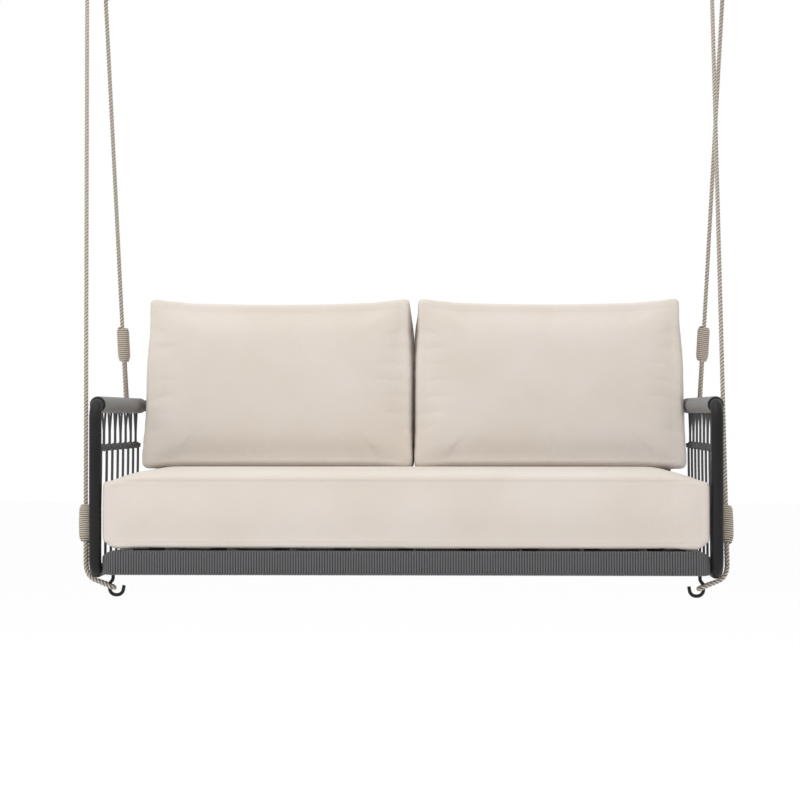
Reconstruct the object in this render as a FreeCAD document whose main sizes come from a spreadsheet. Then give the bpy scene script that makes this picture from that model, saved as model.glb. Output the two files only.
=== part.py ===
"""Two-seat hanging porch swing: an aluminium tube frame wound with cord, three cushions and four ropes.

X runs across the swing, Y from front to back and Z up. The origin lies in the plane of the ceiling,
midway between the two pivots. Seat parts are drawn from the bottom front of the side frames and
carried to their place by the hang sizes and the seat shift.
"""
import FreeCAD, Part
import math
import os

import Sketcher
from FreeCAD import Placement, Rotation, Vector

SIZES = {
    "overall_width": 1524,
    "frame_depth": 800,
    "side_height": 434,
    "tube_diameter": 30,
    "tube_wall": 2,
    "bend_radius": 35,
    "winding": 3.5,
    "weave_cord": 6,
    "knot_row_height": 314,
    "cord_pitch": 88,
    "weave_middle": 408,
    "rear_post_side": 690,
    "base_depth": 766,
    "base_bottom": 11,
    "rail_height": 54,
    "rail_depth": 24,
    "rail_wall": 2,
    "side_rail_height": 41,
    "side_rail_bottom": 12,
    "base_cover": 3,
    "corner_radius": 23,
    "slat_width": 40,
    "slat_height": 20,
    "slat_pitch": 150,
    "deck_top": 73.5,
    "beam_width": 30,
    "beam_height": 20,
    "beam_start": 330,
    "recline": 8,
    "seat_cushion_bottom": 74,
    "seat_cushion_top": 246,
    "seat_cushion_width": 1458,
    "seat_cushion_depth": 753,
    "seat_cushion_front": -3,
    "back_cushion_width": 717,
    "back_cushion_thickness": 190,
    "back_cushion_top": 267,
    "cushion_middle": 6.5,
    "rope": 12,
    "strand_gap": 6.3,
    "front_rope_depth": 50,
    "rear_rope_depth": 684,
    "rope_side": 775,
    "whipping_radius": 17,
    "whipping_length": 96,
    "hook_rod": 8.5,
    "hang_depth": 457,
    "hang_height": 1770,
    "hang_side": 810,
    "seat_shift": 11.5,
    "rope_spread": 20,
    "pivot_drop": 45,
    "link_length": 40,
    "ring_rod": 10,
    "ring_radius": 40,
    "pin_diameter": 10,
    "bush_diameter": 16,
    "plate_thickness": 5,
    "plate_length": 110,
    "plate_width": 54,
    "screw_spacing": 80,
    "screw_hole": 7,
}

doc = FreeCAD.newDocument("porch_swing")
sheet = doc.addObject("Spreadsheet::Sheet", "Sizes")
for line, (alias, value) in enumerate(SIZES.items(), start=1):
    sheet.set(f"A{line}", alias)
    sheet.set(f"B{line}", str(value))
    sheet.setAlias(f"B{line}", alias)
doc.recompute()

nodes = []
SEAT = ("Sizes.seat_shift", "-Sizes.hang_depth", "-Sizes.hang_height")
CEILING = ("0", "0", "0")
ALONG_X = Rotation(Vector(0, 1, 0), 90)
ALONG_Y = Rotation(Vector(1, 0, 0), -90)
UPRIGHT = Rotation()


def size(alias):
    """A driving size, as a number."""
    return float(getattr(sheet, alias))


def place(thing, base, turn=UPRIGHT):
    """Turns a part and binds its place to the sheet."""
    thing.Placement = Placement(Vector(), turn)
    for axis, expression in zip("xyz", base):
        thing.setExpression(f"Placement.Base.{axis}", expression)


def primitive(kind, name, sizes, base, turn=UPRIGHT):
    """A Part primitive whose sizes and place are bound to the sheet."""
    thing = doc.addObject(f"Part::{kind}", name)
    for prop, expression in sizes.items():
        thing.setExpression(prop, expression)
    place(thing, base, turn)
    return thing


def box(name, sizes, base, turn=UPRIGHT):
    """A box of (length, width, height) from its lowest corner."""
    return primitive("Box", name, dict(zip(("Length", "Width", "Height"), sizes)), base, turn)


def rod(name, diameter, length, base, turn=UPRIGHT):
    """A cylinder from the middle of its lower end."""
    return primitive("Cylinder", name, {"Radius": f"({diameter}) / 2", "Height": length}, base, turn)


def cut(name, base, tool):
    """One solid less another."""
    thing = doc.addObject("Part::Cut", name)
    thing.Base, thing.Tool = base, tool
    return thing


def fuse(name, solids):
    """Several solids as one."""
    thing = doc.addObject("Part::MultiFuse", name)
    thing.Shapes = solids
    return thing


def node(label, solids, base=SEAT, turn=UPRIGHT):
    """A named sub-part: one solid, or a group of separate ones."""
    group = doc.addObject("Part::Compound", label)
    group.Label = label
    group.Links = solids
    place(group, base, turn)
    nodes.append(group)
    return group


def solid_node(label, shape, base=SEAT, turn=UPRIGHT):
    """A named sub-part from a shape of its own."""
    part = doc.addObject("Part::Feature", label)
    part.Label = label
    part.Shape = shape
    place(part, base, turn)
    nodes.append(part)
    return part


def new_body(label, base, turn=UPRIGHT):
    """A named PartDesign body."""
    body = doc.addObject("PartDesign::Body", label)
    body.Label = label
    place(body, base, turn)
    nodes.append(body)
    return body


def new_sketch(body, role, name):
    """A sketch on one of the body's own origin planes."""
    plane = next(o for o in body.Origin.OriginFeatures if o.Role == role)
    drawing = body.newObject("Sketcher::SketchObject", name)
    drawing.AttachmentSupport = [(plane, "")]
    drawing.MapMode = "FlatFace"
    return drawing


def bound(drawing, kind, geometry, value, expression):
    """A sketch dimension that the sheet drives."""
    index = drawing.addConstraint(Sketcher.Constraint(kind, *geometry, value))
    drawing.setExpression(f"Constraints[{index}]", expression)


def tube(name, outer, inner, length, base, turn):
    """A straight round tube."""
    shell = rod(f"{name}_outer", outer, length, base, turn)
    bore = rod(f"{name}_bore", inner, length, base, turn)
    return cut(name, shell, bore)


def rounded_path(points, radii):
    """Straight runs through points, joined at each corner by a tangent arc."""
    corners = list(zip(points, radii))
    edges, start = [], points[0]
    for (before, _), (corner, radius), (after, _) in zip(corners, corners[1:], corners[2:]):
        back = (before - corner).normalize()
        ahead = (after - corner).normalize()
        half_turn = (math.pi - back.getAngle(ahead)) / 2
        reach = radius * math.tan(half_turn)
        middle = (back + ahead).normalize() * (radius / math.cos(half_turn) - radius)
        first, last = corner + back * reach, corner + ahead * reach
        edges.append(Part.LineSegment(start, first).toShape())
        edges.append(Part.Arc(first, corner + middle, last).toShape())
        start = last
    edges.append(Part.LineSegment(start, points[-1]).toShape())
    return Part.Wire(edges)


def swept_rod(path, diameter):
    """A round rod or rope along a path of runs and arcs."""
    first = path.Edges[0]
    start = first.valueAt(first.FirstParameter)
    heading = first.tangentAt(first.FirstParameter)
    section = Part.Wire(Part.Circle(start, heading, diameter / 2).toShape())
    solid = path.makePipeShell([section], True, False)
    expected = math.pi * diameter**2 / 4 * path.Length
    if abs(solid.Volume / expected - 1) > 0.01:
        raise RuntimeError(f"a swept rod holds {solid.Volume:.0f} mm3 instead of {expected:.0f}")
    return solid


def straight_cord(start, end, diameter):
    """A cord pulled straight between two points."""
    return Part.makeCylinder(diameter / 2, (end - start).Length, start, end - start)


# Side frames: a bent post at each front corner, and straight tubes that run back from its ends.
def front_post(label, side):
    """A tube post whose two ends bend back through a quarter turn."""
    half = (size("side_height") - size("tube_diameter")) / 2
    bend = size("bend_radius")
    straight = half - bend
    body = new_body(label, (
        f"{side} * (Sizes.overall_width - Sizes.tube_diameter) / 2 + Sizes.seat_shift",
        "Sizes.tube_diameter / 2 - Sizes.hang_depth",
        "Sizes.side_height / 2 - Sizes.hang_height",
    ))
    path = new_sketch(body, "YZ_Plane", f"{label}_path")
    eighth = bend * math.sqrt(0.5)
    path.addGeometry(Part.LineSegment(Vector(0, 0, 0), Vector(0, straight, 0)))
    path.addGeometry(Part.Arc(
        Vector(0, straight, 0),
        Vector(bend - eighth, straight + eighth, 0),
        Vector(bend, half, 0),
    ))
    path.addConstraint(Sketcher.Constraint("Coincident", 0, 1, -1, 1))
    path.addConstraint(Sketcher.Constraint("Vertical", 0))
    path.addConstraint(Sketcher.Constraint("Coincident", 0, 2, 1, 2))
    bound(path, "Distance", (0,), straight,
          "(Sizes.side_height - Sizes.tube_diameter) / 2 - Sizes.bend_radius")
    bound(path, "Radius", (1,), bend, "Sizes.bend_radius")
    ring = new_sketch(body, "XY_Plane", f"{label}_section")
    for index, (radius, expression) in enumerate((
        (size("tube_diameter") / 2, "Sizes.tube_diameter / 2"),
        (size("tube_diameter") / 2 - size("tube_wall"), "Sizes.tube_diameter / 2 - Sizes.tube_wall"),
    )):
        ring.addGeometry(Part.Circle(Vector(), Vector(0, 0, 1), radius))
        ring.addConstraint(Sketcher.Constraint("Coincident", index, 3, -1, 1))
        bound(ring, "Radius", (index,), radius, expression)
    doc.recompute()
    upper = body.newObject("PartDesign::AdditivePipe", f"{label}_upper_half")
    upper.Profile = (ring, [""])
    upper.Spine = (path, ["Edge1", "Edge2"])
    doc.recompute()
    lower = body.newObject("PartDesign::Mirrored", f"{label}_lower_half")
    lower.Originals = [upper]
    mirror = next(o for o in body.Origin.OriginFeatures if o.Role == "XY_Plane")
    lower.MirrorPlane = (mirror, [""])
    body.Tip = lower


SIDES = (("left", -1), ("right", 1))
BORE = "Sizes.tube_diameter - 2 * Sizes.tube_wall"
CORNER_REACH = "(Sizes.tube_diameter / 2 + Sizes.bend_radius)"
CORNER_END = 2
TUBE_RUN = f"Sizes.frame_depth - 2 * {CORNER_REACH} - {CORNER_END}"
ARM_LEVEL = "(Sizes.side_height - Sizes.tube_diameter / 2)"
FLOOR_LEVEL = "Sizes.tube_diameter / 2"
for name, side in SIDES:
    middle = f"{side} * (Sizes.overall_width - Sizes.tube_diameter) / 2"
    front_post(f"front_post_{name}", side)
    for label, level in (("arm_tube", ARM_LEVEL), ("floor_tube", FLOOR_LEVEL)):
        run = tube(f"{label}_{name}_run", "Sizes.tube_diameter", BORE, TUBE_RUN,
                   (middle, CORNER_REACH, level), ALONG_Y)
        node(f"{label}_{name}", [run])
    sleeve = tube(f"arm_winding_{name}_run", "Sizes.tube_diameter + 2 * Sizes.winding",
                  "Sizes.tube_diameter", TUBE_RUN, (middle, CORNER_REACH, ARM_LEVEL), ALONG_Y)
    node(f"arm_winding_{name}", [sleeve])


# Back frame: an upper and a lower tube across the back, whose ends bend forward to meet the side
# tubes, and two posts coped and welded between them. The upper one is wound like the arms.
REAR = "(Sizes.frame_depth - Sizes.tube_diameter / 2)"
side_middle = (size("overall_width") - size("tube_diameter")) / 2
rear_middle = size("frame_depth") - size("tube_diameter") / 2
arm_centre = size("side_height") - size("tube_diameter") / 2
for label, level in (("back_rail", arm_centre), ("rear_floor_tube", size("tube_diameter") / 2)):
    bend = size("bend_radius")
    start = rear_middle - bend - CORNER_END
    path = rounded_path(
        [Vector(-side_middle, start, level), Vector(-side_middle, rear_middle, level),
         Vector(side_middle, rear_middle, level), Vector(side_middle, start, level)],
        [0, bend, bend, 0],
    )
    bore = swept_rod(path, size("tube_diameter") - 2 * size("tube_wall"))
    solid_node(label, swept_rod(path, size("tube_diameter")).cut(bore))
rails = fuse("rear_rail_copes", [
    rod(f"cope_{place_no}", "Sizes.tube_diameter", "Sizes.overall_width",
        ("-Sizes.overall_width / 2", REAR, level), ALONG_X)
    for place_no, level in enumerate((ARM_LEVEL, FLOOR_LEVEL))
])
for name, side in SIDES:
    post = tube(f"rear_post_{name}_run", "Sizes.tube_diameter", BORE, f"{ARM_LEVEL} - {FLOOR_LEVEL}",
                (f"{side} * Sizes.rear_post_side", REAR, FLOOR_LEVEL), UPRIGHT)
    node(f"rear_post_{name}", [cut(f"rear_post_{name}_coped", post, rails)])
BACK_WOUND = "(Sizes.rear_post_side - Sizes.tube_diameter / 2 - Sizes.winding)"
sleeve = tube("back_winding_run", "Sizes.tube_diameter + 2 * Sizes.winding", "Sizes.tube_diameter",
              f"2 * {BACK_WOUND}", (f"-{BACK_WOUND}", REAR, ARM_LEVEL), ALONG_X)
node("back_winding", [sleeve])


# Base: four rectangular rails joined by corner castings, all wound with cord.
BASE_HALF = "(Sizes.overall_width / 2 - Sizes.tube_diameter - Sizes.base_cover)"


def hollow_rail(name, outer, wall, base, along):
    """A rectangular tube, open at the two ends that face along the given axis."""
    inner = [s if i == along else f"{s} - 2 * {wall}" for i, s in enumerate(outer)]
    inside = [b if i == along else f"{b} + {wall}" for i, b in enumerate(base)]
    return cut(name, box(f"{name}_outer", outer, base), box(f"{name}_bore", inner, inside))


LAID_ACROSS, LAID_DEEP = 0, 1
CORNER = "(Sizes.rail_depth + Sizes.base_cover)"
RAIL_OUT = "(Sizes.rail_depth)"
COVER_OUT = "(Sizes.rail_depth + 2 * Sizes.base_cover)"
COVER_HIGH = "(Sizes.rail_height + 2 * Sizes.base_cover)"
COVER_BOTTOM = "Sizes.base_bottom - Sizes.base_cover"
WIDE = f"2 * ({BASE_HALF} - {CORNER})"
DEEP = f"Sizes.base_depth - 2 * {COVER_OUT}"
for name, rail_y, cover_y in (
    ("front", "Sizes.base_cover", "0"),
    ("rear", "Sizes.base_depth - Sizes.base_cover - Sizes.rail_depth", f"Sizes.base_depth - {COVER_OUT}"),
):
    start = f"-({BASE_HALF} - {CORNER})"
    rail = hollow_rail(f"base_rail_{name}_tube", (WIDE, RAIL_OUT, "Sizes.rail_height"),
                       "Sizes.rail_wall", (start, rail_y, "Sizes.base_bottom"), LAID_ACROSS)
    node(f"base_rail_{name}", [rail])
    cover = hollow_rail(f"base_winding_{name}_sleeve", (WIDE, COVER_OUT, COVER_HIGH),
                        "Sizes.base_cover", (start, cover_y, COVER_BOTTOM), LAID_ACROSS)
    node(f"base_winding_{name}", [cover])
for name, side in SIDES:
    rail_x = f"-{BASE_HALF}" if side < 0 else f"{BASE_HALF} - Sizes.rail_depth"
    rail = hollow_rail(f"base_rail_{name}_tube", (RAIL_OUT, DEEP, "Sizes.side_rail_height"),
                       "Sizes.rail_wall", (rail_x, COVER_OUT, "Sizes.side_rail_bottom"), LAID_DEEP)
    node(f"base_rail_{name}", [rail])
    cover = hollow_rail(f"base_winding_{name}_sleeve",
                        (COVER_OUT, DEEP, "Sizes.side_rail_height + 2 * Sizes.base_cover"),
                        "Sizes.base_cover",
                        (f"{rail_x} - Sizes.base_cover", COVER_OUT,
                         "Sizes.side_rail_bottom - Sizes.base_cover"), LAID_DEEP)
    node(f"base_winding_{name}", [cover])


def rounded_corner(name, block, radius, x_side, y_side):
    """A block with one upright edge rounded, the edge on the outside of the frame."""
    edge = next(
        index for index, e in enumerate(block.Shape.Edges, start=1)
        if e.BoundBox.XLength < 0.01 and e.BoundBox.YLength < 0.01
        and (e.CenterOfMass.x - block.Shape.CenterOfMass.x) * x_side > 0
        and (e.CenterOfMass.y - block.Shape.CenterOfMass.y) * y_side > 0
    )
    smooth = doc.addObject("Part::Fillet", name)
    smooth.Base = block
    smooth.Edges = [(edge, radius, radius)]
    return smooth


castings, corner_covers = [], []
for x_side in (-1, 1):
    for y_side in (-1, 1):
        tag = f"{'left' if x_side < 0 else 'right'}_{'front' if y_side < 0 else 'rear'}"
        casting_x = f"-{BASE_HALF}" if x_side < 0 else f"{BASE_HALF} - {CORNER}"
        casting_y = "Sizes.base_cover" if y_side < 0 else f"Sizes.base_depth - {COVER_OUT}"
        cover_x = f"{casting_x} - Sizes.base_cover" if x_side < 0 else casting_x
        cover_y = "0" if y_side < 0 else f"Sizes.base_depth - {COVER_OUT}"
        parts = []
        for use, side_length, height, base in (
            ("casting", CORNER, "Sizes.side_rail_height", (casting_x, casting_y, "Sizes.side_rail_bottom")),
            ("core", CORNER, "Sizes.side_rail_height", (casting_x, casting_y, "Sizes.side_rail_bottom")),
            ("cover", COVER_OUT, COVER_HIGH, (cover_x, cover_y, COVER_BOTTOM)),
        ):
            parts.append(box(f"corner_{use}_{tag}_block", (side_length, side_length, height), base))
        doc.recompute()
        inner = size("corner_radius")
        outer = inner + size("base_cover")
        casting, core, cover = (
            rounded_corner(f"corner_{use}_{tag}", part, radius, x_side, y_side)
            for use, part, radius in zip(("casting", "core", "cover"), parts, (inner, inner, outer))
        )
        castings.append(casting)
        corner_covers.append(cut(f"corner_winding_{tag}", cover, core))
node("base_corner_castings", castings)
node("base_corner_windings", corner_covers)


# Deck: slats from the front rail to the rear rail, over one cross beam.
slats = [
    box(f"slat_{place_no}",
        ("Sizes.slat_width", f"Sizes.base_depth - 2 * {COVER_OUT}", "Sizes.slat_height"),
        (f"{place_no} * Sizes.slat_pitch - Sizes.slat_width / 2", COVER_OUT,
         "Sizes.deck_top - Sizes.slat_height"))
    for place_no in range(-4, 5)
]
node("seat_slats", slats)
DECK_HALF = f"({BASE_HALF} + Sizes.base_cover - {COVER_OUT})"
beam = box("cross_beam_bar", (f"2 * {DECK_HALF}", "Sizes.beam_width", "Sizes.beam_height"),
           (f"-{DECK_HALF}", "Sizes.beam_start",
            "Sizes.deck_top - Sizes.slat_height - Sizes.beam_height"))
node("cross_beam", [beam])


# Woven panels: pairs of cords fan out from a row of knots up to the wound tube, and other pairs
# drop from between the knots to the tube below.
KNOT_RADIUS, KNOT_LENGTH, ROW_RADIUS = 7, 18, 5.5
FAN, PAIR, CLEAR, END_CLEAR = 24, 3.6, 0.2, 1
SIDE_KNOTS, BACK_KNOTS = 7, 15


def woven_panel(count, at):
    """The cords and the knot row of one panel; at(distance, height) gives a point of it."""
    cords, row_parts = [], []
    diameter, pitch, row = size("weave_cord"), size("cord_pitch"), size("knot_row_height")
    top = size("side_height") - size("tube_diameter") - size("winding") - END_CLEAR
    bottom = size("tube_diameter") + END_CLEAR
    for knot in range(count):
        middle = (knot - (count - 1) / 2) * pitch
        for way in (-1, 1):
            foot_point = at(middle + way * PAIR, row + KNOT_RADIUS + END_CLEAR)
            cords.append(straight_cord(foot_point, at(middle + way * FAN, top), diameter))
        row_parts.append(straight_cord(at(middle - KNOT_LENGTH / 2, row),
                                       at(middle + KNOT_LENGTH / 2, row), 2 * KNOT_RADIUS))
    for space in range(count + 1):
        middle = (space - count / 2) * pitch
        start = middle - (pitch - KNOT_LENGTH) / 2 if space else middle
        end = middle + (pitch - KNOT_LENGTH) / 2 if space < count else middle
        row_parts.append(straight_cord(at(start, row), at(end, row), 2 * ROW_RADIUS))
        for way in (-1, 1):
            low = middle + way * PAIR
            cords.append(straight_cord(at(low, bottom), at(low, row - ROW_RADIUS - END_CLEAR), diameter))
    return Part.makeCompound(cords), Part.makeCompound(row_parts)


for name, side in SIDES:
    cords, row_parts = woven_panel(
        SIDE_KNOTS, lambda along, height: Vector(side * side_middle, size("weave_middle") + along, height),
    )
    solid_node(f"side_cords_{name}", cords)
    solid_node(f"side_knots_{name}", row_parts)
cords, row_parts = woven_panel(BACK_KNOTS, lambda along, height: Vector(along, rear_middle, height))
solid_node("back_cords", cords)
solid_node("back_knots", row_parts)


# Cushions: closed soft blocks with rounded edges.
SEAT_ROUNDING, BACK_ROUNDING, CUSHION_GAP, BACK_GAP = 28, 36, 1, 1.5


def cushion(label, outline, width, width_expression, across, radius):
    """A block of the given side outline, of (depth, height) corners, padded across the swing."""
    body = new_body(label, (f"{across} + Sizes.seat_shift", SEAT[1], SEAT[2]))
    side_view = new_sketch(body, "YZ_Plane", f"{label}_side_view")
    corners = [Vector(y, z, 0) for y, z in outline]
    for index, (start, end) in enumerate(zip(corners, corners[1:] + corners[:1])):
        side_view.addGeometry(Part.LineSegment(start, end))
        if index:
            side_view.addConstraint(Sketcher.Constraint("Coincident", index - 1, 2, index, 1))
    side_view.addConstraint(Sketcher.Constraint("Coincident", len(corners) - 1, 2, 0, 1))
    block = body.newObject("PartDesign::Pad", f"{label}_block")
    block.Profile = side_view
    block.SideType = "Symmetric"
    block.Length = width
    block.setExpression("Length", width_expression)
    doc.recompute()
    soft = body.newObject("PartDesign::Fillet", f"{label}_rounding")
    soft.Base = (block, [f"Edge{i + 1}" for i in range(len(block.Shape.Edges))])
    soft.Radius = radius
    doc.recompute()
    body.Tip = soft


seat_front = size("seat_cushion_front")
seat_rear = seat_front + size("seat_cushion_depth")
low, high = size("seat_cushion_bottom"), size("seat_cushion_top")
cushion("seat_cushion", [(seat_front, low), (seat_rear, low), (seat_rear, high), (seat_front, high)],
        size("seat_cushion_width"), "Sizes.seat_cushion_width", "0", SEAT_ROUNDING)

lean = math.radians(size("recline"))
rear_gap = size("tube_diameter") / 2 + size("winding") + BACK_GAP
front_gap = rear_gap + size("back_cushion_thickness")


def on_back(up, forward):
    """(depth, height) of a point up from the back rail, along the lean, and forward of it."""
    return (
        rear_middle + up * math.sin(lean) - forward * math.cos(lean),
        arm_centre + up * math.cos(lean) + forward * math.sin(lean),
    )


def at_height(height, forward):
    """The (depth, height) where a leaned line forward of the back rail reaches a height."""
    up = (height - arm_centre - forward * math.sin(lean)) / math.cos(lean)
    return on_back(up, forward)


rest = size("seat_cushion_top") + CUSHION_GAP
back_outline = [
    at_height(rest, front_gap), at_height(rest, rear_gap),
    on_back(size("back_cushion_top"), rear_gap), on_back(size("back_cushion_top"), front_gap),
]
for name, side in SIDES:
    cushion(f"back_cushion_{name}", back_outline, size("back_cushion_width"),
            "Sizes.back_cushion_width",
            f"Sizes.cushion_middle + {side} * (Sizes.back_cushion_width + {CUSHION_GAP}) / 2",
            BACK_ROUNDING)


# Ropes: each is spliced round a thimble on a D-ring above and round a hook below, and whipped at both.
THIMBLE_INSIDE, THIMBLE_WALL, THIMBLE_WIDTH, THIMBLE_LEG = 9, 3, 12, 12
EYE_LEG, TOP_WHIPPING_START, TAIL = 24, 62, 8
UNDER_LEVEL, BIGHT_LEVEL, FRONT_WHIPPING_LEVEL, REAR_WHIPPING_LEVEL = 2.2, -24.7, 83, 536
HOOK_ROOT, HOOK_STEP, HOOK_WIDTH, HOOK_DROP, HOOK_TIP, REAR_HOOK_REACH = 709, 8.3, 31, 42, 19, 22
HOOK_FLARE = 4
LINK_BORE = 9
bar_drop = (size("pivot_drop") + size("link_length") + LINK_BORE - size("ring_rod") / 2
            + size("ring_radius"))
eye_drop = bar_drop + THIMBLE_INSIDE - size("ring_rod") / 2
eye_reach = THIMBLE_INSIDE + THIMBLE_WALL + size("rope") / 2 + CLEAR
gap = size("strand_gap")
half_rod = size("hook_rod") / 2
whipping_length = size("whipping_length")


class RopeLine:
    """The line of one rope: down from the middle of its thimble, and sideways across its strands."""

    def __init__(self, top, bottom):
        self.top = top
        self.length = (bottom - top).Length
        self.down = (bottom - top).normalize()
        backward = Vector(0, 1, 0)
        self.across = (backward - self.down * backward.dot(self.down)).normalize()
        self.wide = self.across.cross(self.down)

    def at(self, down, across=0):
        """A point so far down the line and so far across it."""
        return self.top + self.down * down + self.across * across


def corner_radii(points, set_radii):
    """The radius at each point: a given one, or as large as the two runs allow."""
    radii = [0]
    for before, corner, after in zip(points, points[1:], points[2:]):
        back, ahead = before - corner, after - corner
        half_turn = (math.pi - back.getAngle(ahead)) / 2
        radii.append(0.45 * min(back.Length, ahead.Length) / math.tan(half_turn))
    radii.append(0)
    for index, radius in set_radii.items():
        radii[index] = radius
    return radii


def rope_top(line):
    """The route from the tail in the upper whipping, over the thimble and down to the long run."""
    return [
        line.at(TOP_WHIPPING_START + whipping_length - TAIL, gap),
        line.at(TOP_WHIPPING_START - 2, gap),
        line.at(EYE_LEG, eye_reach),
        line.at(-eye_reach, eye_reach),
        line.at(-eye_reach, -eye_reach),
        line.at(EYE_LEG, -eye_reach),
        line.at(TOP_WHIPPING_START - 2, -gap),
    ]


def thimble(line):
    """A bent metal strip that lines the eye of a rope."""
    outside = THIMBLE_INSIDE + THIMBLE_WALL
    start = line.wide * (-THIMBLE_WIDTH / 2)

    def corner(across, down):
        return line.at(down, across) + start

    edges = [
        Part.LineSegment(corner(outside, THIMBLE_LEG), corner(outside, 0)),
        Part.Arc(corner(outside, 0), corner(0, -outside), corner(-outside, 0)),
        Part.LineSegment(corner(-outside, 0), corner(-outside, THIMBLE_LEG)),
        Part.LineSegment(corner(-outside, THIMBLE_LEG), corner(-THIMBLE_INSIDE, THIMBLE_LEG)),
        Part.LineSegment(corner(-THIMBLE_INSIDE, THIMBLE_LEG), corner(-THIMBLE_INSIDE, 0)),
        Part.Arc(corner(-THIMBLE_INSIDE, 0), corner(0, -THIMBLE_INSIDE), corner(THIMBLE_INSIDE, 0)),
        Part.LineSegment(corner(THIMBLE_INSIDE, 0), corner(THIMBLE_INSIDE, THIMBLE_LEG)),
        Part.LineSegment(corner(THIMBLE_INSIDE, THIMBLE_LEG), corner(outside, THIMBLE_LEG)),
    ]
    strip = Part.Face(Part.Wire([edge.toShape() for edge in edges]))
    return strip.extrude(line.wide * THIMBLE_WIDTH)


def whipping(line, start, path):
    """A barrel of thin cord bound round the two strands of a rope."""
    barrel = Part.makeCylinder(size("whipping_radius"), whipping_length, line.at(start), line.down)
    return barrel.cut(swept_rod(path, size("rope") + CLEAR))


def rope(label, points, set_radii):
    """One rope as a tube along its route, which is given back."""
    path = rounded_path(points, corner_radii(points, set_radii))
    solid_node(label, swept_rod(path, size("rope")))
    print(f"{label}: {path.Length:.0f} mm long")
    return path


hook_side = HOOK_ROOT + HOOK_STEP
eye_height = size("hang_height") - eye_drop
under_radius = size("tube_diameter") / 2 + size("rope") / 2 + 2 * CLEAR
arch = 0.9 * eye_reach
loop = half_rod + size("rope") / 2 + 5 * CLEAR
upper_whippings, thimbles = [], []
for name, side in SIDES:
    # The front rope runs outside the side frame, turns in under it and loops round the hook.
    top_x = side * size("hang_side") - size("seat_shift") - size("rope_spread")
    front = RopeLine(Vector(top_x, size("hang_depth"), eye_height),
                     Vector(side * size("rope_side"), size("front_rope_depth"), UNDER_LEVEL))
    bight_x = side * (hook_side - loop)
    start = front.length - (FRONT_WHIPPING_LEVEL - UNDER_LEVEL) / -front.down.z - whipping_length
    points = rope_top(front) + [
        front.at(front.length, -gap),
        Vector(bight_x, size("front_rope_depth") - loop, BIGHT_LEVEL),
        Vector(bight_x, size("front_rope_depth") + loop, BIGHT_LEVEL),
        front.at(front.length, gap),
        front.at(start + TAIL, gap),
    ]
    bends = {3: arch, 4: arch, 7: under_radius, 8: 0.9 * loop, 9: 0.9 * loop, 10: under_radius}
    front_path = rope(f"rope_front_{name}", points, bends)
    solid_node(f"whipping_front_{name}", whipping(front, start, front_path))

    # The rear rope loops under a hook on the outside of the arm.
    top_x = side * size("hang_side") - size("seat_shift") + size("rope_spread")
    rear = RopeLine(Vector(top_x, size("hang_depth"), eye_height),
                    Vector(side * (size("rope_side") + 1), size("rear_rope_depth"), arm_centre))
    start = rear.length - (REAR_WHIPPING_LEVEL - arm_centre) / -rear.down.z - whipping_length
    split = start + whipping_length + 3
    points = rope_top(rear) + [
        rear.at(split, -gap),
        rear.at(rear.length + loop, -loop),
        rear.at(rear.length + loop, loop),
        rear.at(split, gap),
        rear.at(start + TAIL, gap),
    ]
    bends = {3: arch, 4: arch, 8: 0.9 * loop, 9: 0.9 * loop}
    rear_path = rope(f"rope_rear_{name}", points, bends)
    solid_node(f"whipping_rear_{name}", whipping(rear, start, rear_path))
    for line, path in ((front, front_path), (rear, rear_path)):
        upper_whippings.append(whipping(line, TOP_WHIPPING_START, path))
        thimbles.append(thimble(line))

    # Hooks: a J under each front corner, a shorter one turned down on the outside of each arm.
    depth = size("front_rope_depth")
    root, tip_side = size("base_bottom") - size("base_cover"), hook_side - HOOK_WIDTH
    bowl_bend, shank_bend = 0.99 * HOOK_WIDTH / 2, 13
    shape = [(HOOK_ROOT, root), (HOOK_ROOT, -5), (hook_side, -14), (hook_side, -HOOK_DROP),
             (tip_side, -HOOK_DROP), (tip_side - HOOK_FLARE, -HOOK_TIP)]
    bends = [0, shank_bend, shank_bend, bowl_bend, bowl_bend, 0]
    path = rounded_path([Vector(side * x, depth, z) for x, z in shape], bends)
    solid_node(f"front_hook_{name}", swept_rod(path, size("hook_rod")))
    root = size("overall_width") / 2 + size("winding")
    end = root + REAR_HOOK_REACH
    shape = [(root, arm_centre), (end, arm_centre), (end, arm_centre - REAR_HOOK_REACH)]
    path = rounded_path([Vector(side * x, size("rear_rope_depth"), z) for x, z in shape], [0, 8, 0])
    solid_node(f"rear_hook_{name}", swept_rod(path, size("hook_rod")))
solid_node("upper_whippings", Part.makeCompound(upper_whippings))
solid_node("thimbles", Part.makeCompound(thimbles))


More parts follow.
